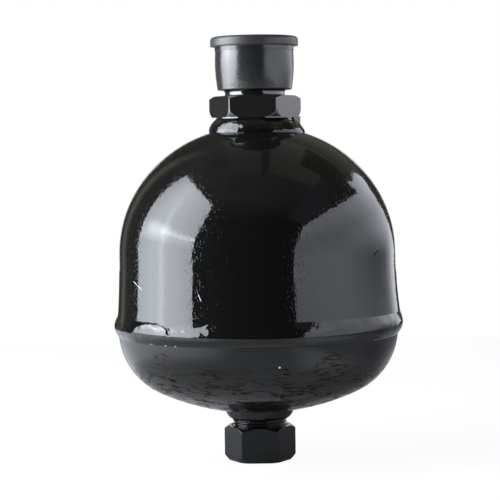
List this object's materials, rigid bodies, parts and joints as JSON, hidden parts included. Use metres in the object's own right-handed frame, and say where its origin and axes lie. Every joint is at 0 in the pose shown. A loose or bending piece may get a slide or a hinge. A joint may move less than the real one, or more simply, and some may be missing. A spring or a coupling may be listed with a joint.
{
  "type": "diaphragm accumulator",
  "caption": "Welded steel vessel with a hexagon fluid port under a protective cap and a hex cap on its gas stub, holding a rubber diaphragm for brake pressure.",
  "frame": {"origin": "centre of the flat end of the gas-side hex cap, on the vessel's axis, at the lowest point", "axes": "+Z along the vessel's axis, from the gas side towards the fluid port; -Y is the side that the picture shows"},
  "size_m": [0.1478, 0.1478, 0.2172],
  "materials": {
    "gloss_paint": "gloss black paint with orange peel",
    "satin_hex": "satin black",
    "cap_plastic": "satin dark grey moulded plastic",
    "bare_steel": "machined, oiled",
    "rubber": "matt black nitrile rubber"
  },
  "bodies": {
    "vessel": {"fluid_shell": "gloss_paint", "gas_shell": "gloss_paint", "seam_weld": "gloss_paint", "clamp_ring": "bare_steel", "diaphragm": "rubber", "fluid_port": "gloss_paint", "fluid_port_weld": "gloss_paint", "gas_stub": "gloss_paint", "gas_stub_weld": "gloss_paint", "charging_screw": "bare_steel", "screw_seal": "rubber", "gas_hex_cap": "satin_hex", "cap_seal_ring": "rubber"},
    "button": {"closing_button": "bare_steel"},
    "cap": {"protective_cap": "cap_plastic"}
  },
  "joints": [
    {"name": "cap_pull", "type": "slide", "parent": "vessel", "child": "cap", "axis": [0, 0, 1], "range_m": [0, 0.06]},
    {"name": "diaphragm_stroke", "type": "slide", "parent": "vessel", "child": "button", "axis": [0, 0, -1], "range_m": [0, 0.1], "stiffness_N_per_m": 60, "springref_m": -0.03, "deforming": ["diaphragm"]}
  ]
}
